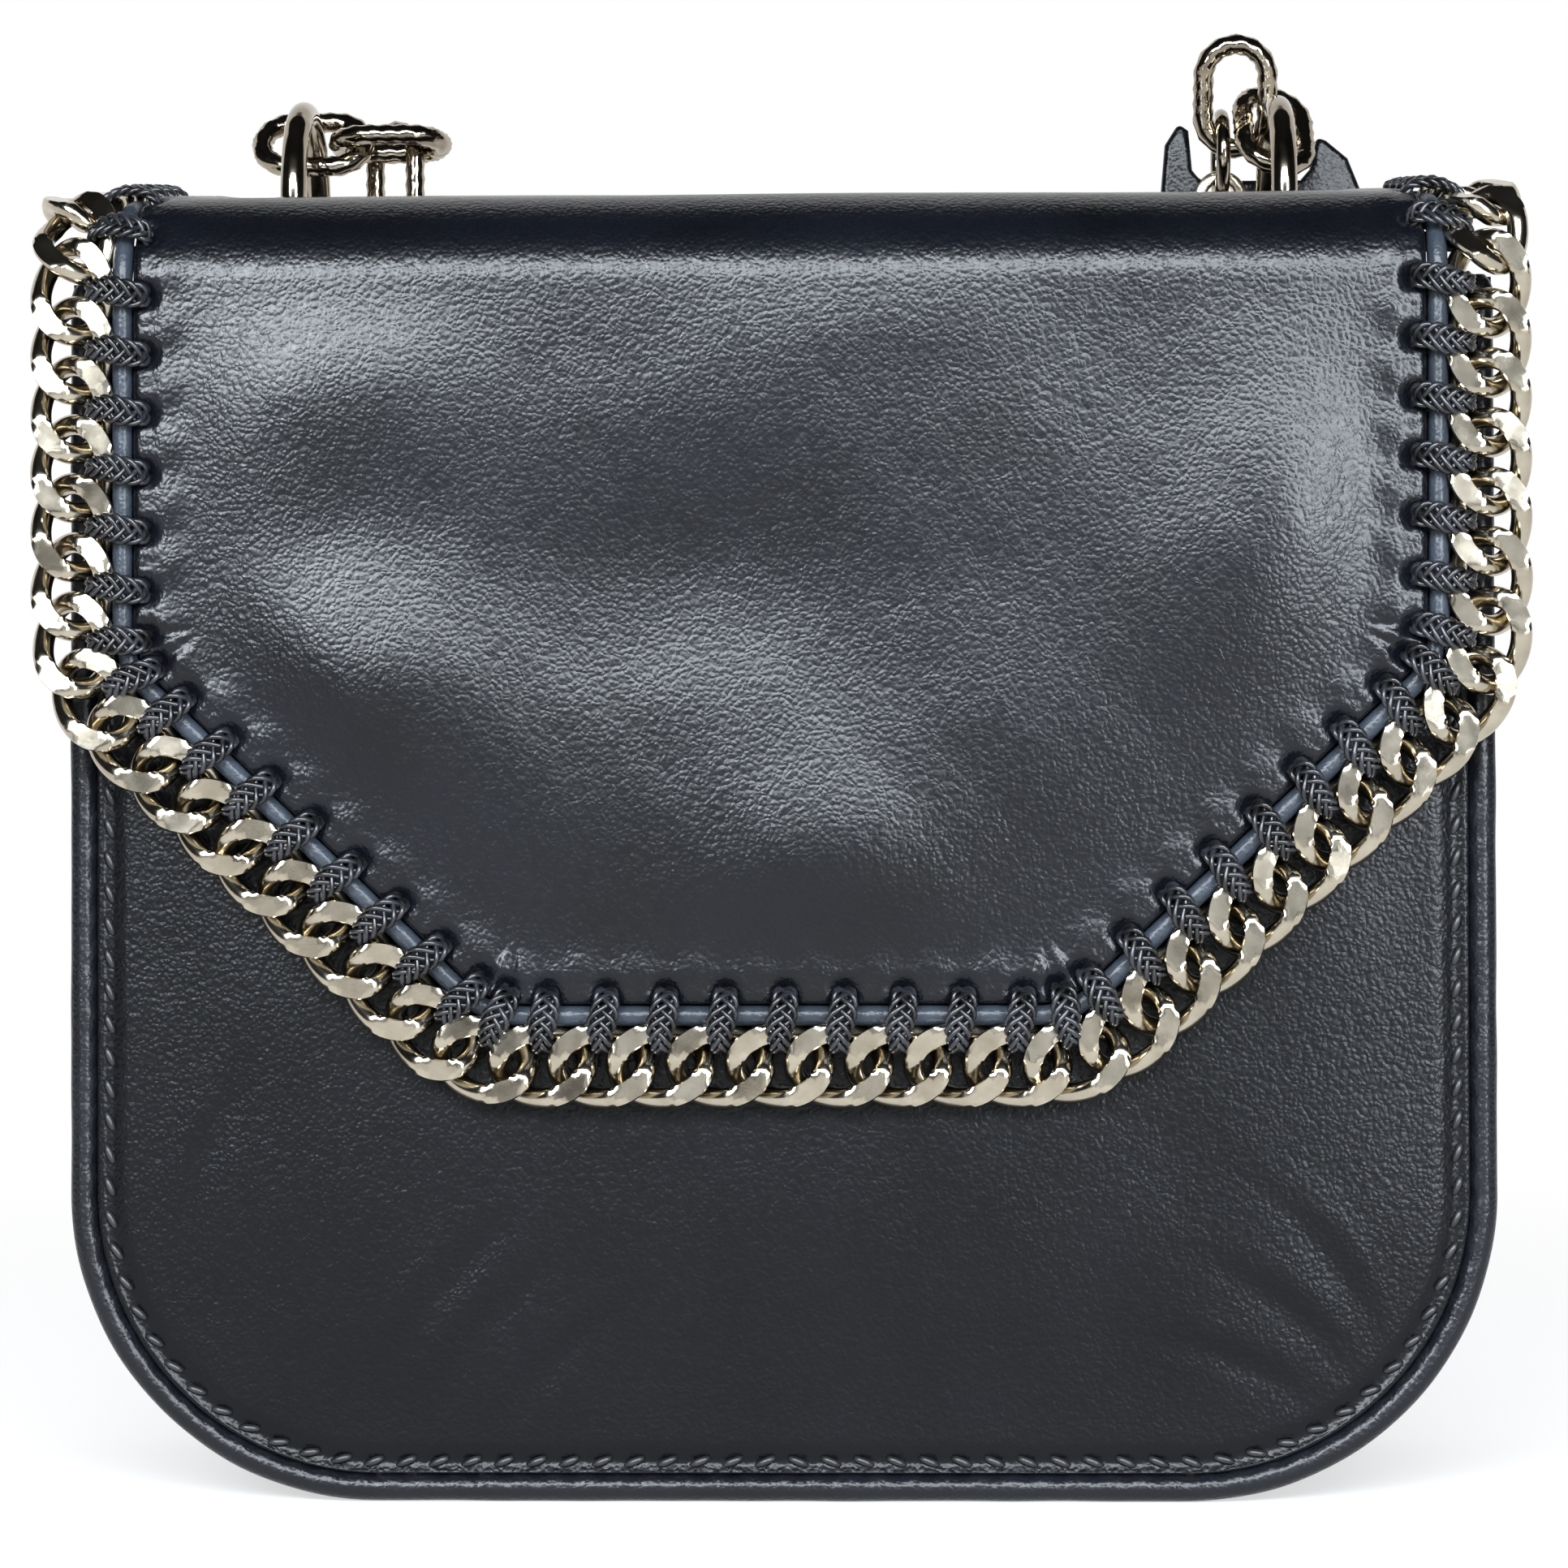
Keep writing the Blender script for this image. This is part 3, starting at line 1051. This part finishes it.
def makePadStitches():
    # a row of stitches near the pad's sides and lower edge, on both faces
    left, right, low, top, inset = (pad[key] for key in ("left", "right", "low", "top", "seamIn"))
    seam = [(x, z, math.pi / 2) for x in (left + inset, right - inset)
            for z in np.linspace(low + 7, top - 13, pad["sideStitches"])]
    seam += [(x, low + inset, 0) for x in np.linspace(left + 7, right - 7, pad["lowStitches"])]
    t = np.linspace(-1, 1, 7)
    grids = []
    for x, z, heading in seam:
        run = t * pad["stitchHalf"]
        for side in (-1, 1):
            path = np.stack([x + run * math.cos(heading),
                             pad["y"] + side * (pad["thick"] / 2 + 0.18 - 0.5 * t ** 4),
                             z + run * math.sin(heading)], -1)
            grids.append(stitchTube(path, t, 0.34, 0.05))
    thread = joinGrids("shoulderStitches", grids, blackThread, loopCols=True, caps=True)
    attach(thread, "strap_legs")


def makePadFittings():
    # eyelets through the pad, and the ring in each that the chain hangs from
    profile = [(1.95, -1.3), (1.95, 1.3), (2.2, 1.55), (2.8, 1.6), (3.5, 1.3), (3.6, 1.08), (2.4, 1.05),
               (2.4, -1.05), (3.6, -1.08), (3.5, -1.3), (2.8, -1.6), (2.2, -1.55)]
    ring = spinProfile("padEyelet", profile, 32)
    places = [shift(x, pad["y"], z) @ turn(90, "X") for x, z in pad["holes"]]
    finishPiece(copyOut("padEyeletPair", ring, places, paleGold), "strap_legs",
                ["pad_eyelets"], angle=35)
    removePiece(ring)
    low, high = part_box("pad_rings")
    radius, wire = pad["ringRadius"], pad["ringWire"]
    reach = radius + wire / 2
    rings = [shift(pad["holeX"][0], high.y / mm - reach, high.z / mm - reach) @ turn(90, "Y"),
             shift(pad["holeX"][1], low.y / mm + reach, low.z / mm + reach) @ turn(90, "Y")]
    makeRing("padRingPair", rings, radius, wire, "strap_legs", "pad_rings")


makeShoulderPad()
makePadStitches()
makePadFittings()

# pieces that stay as the part's source has them, out of sight
for finish, nodes in ((fibreBoard, ("front_board", "back_board", "base_board", "flap_board")),
                      (paleGold, ("magnet_socket", "magnet_socket_backing", "magnet_stud",
                                  "magnet_stud_backing"))):
    for node in nodes:
        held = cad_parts[node]
        held.data.materials.clear()
        held.data.materials.append(finish)
print("boards and magnets finished")


def seenShare(tree):
    # 1 for a ray from the camera, a reflection or a clear piece, 0 for the light that falls on things
    rays = addNode(tree, "ShaderNodeLightPath").outputs
    seen = addNode(tree, "ShaderNodeMath", {"operation": "MAXIMUM"},
                   {0: rays["Is Camera Ray"], 1: rays["Is Glossy Ray"]})
    seen = addNode(tree, "ShaderNodeMath", {"operation": "MAXIMUM"},
                   {0: seen.outputs[0], 1: rays["Is Transmission Ray"]})
    return seen.outputs[0]


def makeStage():
    # a paper sweep that fades to pure white round the bag's soft shadow, and a white room
    material, tree, shader, place = startMaterial("paperSweep", Base_Color=linearColour("f7f7f7"),
                                                  Roughness=0.9, Specular_IOR_Level=0.1)
    reach = addNode(tree, "ShaderNodeVectorMath", {"operation": "LENGTH"}, {0: place})
    fade = addNode(tree, "ShaderNodeMapRange",
                   {"From Min": 0.12, "From Max": 0.5, "To Min": 0.6, "To Max": 1.0},
                   {"Value": reach.outputs["Value"]})
    share = addNode(tree, "ShaderNodeMath", {"operation": "MULTIPLY"},
                    {0: seenShare(tree), 1: fade.outputs["Result"]})
    white = addNode(tree, "ShaderNodeEmission", {"Strength": 1.0})
    mixed = addNode(tree, "ShaderNodeMixShader",
                    links={0: share.outputs[0], 1: shader.outputs[0], 2: white.outputs[0]})
    tree.links.new(mixed.outputs[0], tree.nodes["Material Output"].inputs["Surface"])
    half, z = 3000, -0.05
    corners = [(-half, -half, z), (half, -half, z), (half, half, z), (-half, half, z)]
    newPiece("paperFloor", corners, [(0, 1, 2, 3)], material)
    world = bpy.data.worlds.new("studio")
    bpy.context.scene.world = world
    world.use_nodes = True
    tree = world.node_tree
    level = addNode(tree, "ShaderNodeMapRange", {"To Min": 0.55, "To Max": 1.0}, {"Value": seenShare(tree)})
    background = tree.nodes["Background"]
    tree.links.new(level.outputs["Result"], background.inputs["Strength"])
    background.inputs["Color"].default_value = (1, 1, 1, 1)


def makeCards():
    # the room behind the camera is dark, so polished faces have something to show
    flock = startMaterial("blackFlock", Base_Color=linearColour("08080a"), Roughness=1.0)[0]
    w, low, high, ceilingBack, sideBack = 1500, 5, 1700, 900, 500
    cards = dict(cameraSideCard=[(-w, -w, low), (w, -w, low), (w, -w, high), (-w, -w, high)],
                 ceilingCard=[(-w, -w, high), (w, -w, high), (w, ceilingBack, high), (-w, ceilingBack, high)],
                 leftCard=[(-w, -w, low), (-w, -w, high), (-w, sideBack, high), (-w, sideBack, low)],
                 rightCard=[(w, -w, low), (w, -w, high), (w, sideBack, high), (w, sideBack, low)])
    for name, corners in cards.items():
        card = newPiece(name, corners, [(0, 1, 2, 3)], flock)
        card.visible_camera = card.visible_shadow = card.visible_diffuse = False


# soft boxes: place in metres, height that each is aimed at over the origin, width and height, watts
lamps = dict(frontBox=((0.0, -1.3, 0.68), 0.1, (1.1, 0.32), 33),
             leftBox=((-0.52, -1.2, 0.5), 0.1, (0.3, 0.4), 12),
             rightBox=((0.6, -1.15, 0.3), 0.1, (0.3, 0.5), 14),
             lensBox=((0.05, -1.45, 0.14), 0.09, (0.3, 0.18), 0.16))


def makeLamps():
    for name, (place, aim, (width, height), watts) in lamps.items():
        data = bpy.data.lights.new(name, "AREA")
        data.shape, data.size, data.size_y, data.energy = "RECTANGLE", width, height, watts
        data.color = (0.87, 0.93, 1.0)  # north daylight
        lamp = bpy.data.objects.new(name, data)
        bpy.context.scene.collection.objects.link(lamp)
        lamp.location = place
        lamp.rotation_euler = (Vector((0, 0, aim)) - Vector(place)).to_track_quat("-Z", "Y").to_euler()


view = dict(yaw=1.48, pitch=0.82, roll=-0.15, place=(14.19, -559.93, 80.24), focus=5336.39, pixels=1932)


def makeCamera():
    # the photograph's viewpoint: angles in degrees, focus in pixels of the photograph
    yaw, pitch, roll = (math.radians(view[key]) for key in ("yaw", "pitch", "roll"))
    yawTurn = [[math.cos(yaw), math.sin(yaw), 0], [-math.sin(yaw), math.cos(yaw), 0], [0, 0, 1]]
    pitchTurn = [[1, 0, 0], [0, math.cos(pitch), math.sin(pitch)], [0, -math.sin(pitch), math.cos(pitch)]]
    rollTurn = [[math.cos(roll), 0, math.sin(roll)], [0, 1, 0], [-math.sin(roll), 0, math.cos(roll)]]
    right, forward, up = np.array(rollTurn) @ np.array(pitchTurn) @ np.array(yawTurn)
    data = bpy.data.cameras.new("photoCamera")
    data.sensor_width, data.lens = 36, view["focus"] * 36 / view["pixels"]
    data.clip_start, data.clip_end = 0.01, 20
    camera = bpy.data.objects.new("photoCamera", data)
    bpy.context.scene.collection.objects.link(camera)
    rows = [[right[i], up[i], -forward[i], view["place"][i] * mm] for i in range(3)]
    camera.matrix_world = Matrix(rows + [[0, 0, 0, 1]])
    bpy.context.scene.camera = camera


makeStage()
makeLamps()
makeCards()
makeCamera()
print("floor, lights and camera set")
bpy.context.scene.view_settings.view_transform = "Standard"

print("scene ready")
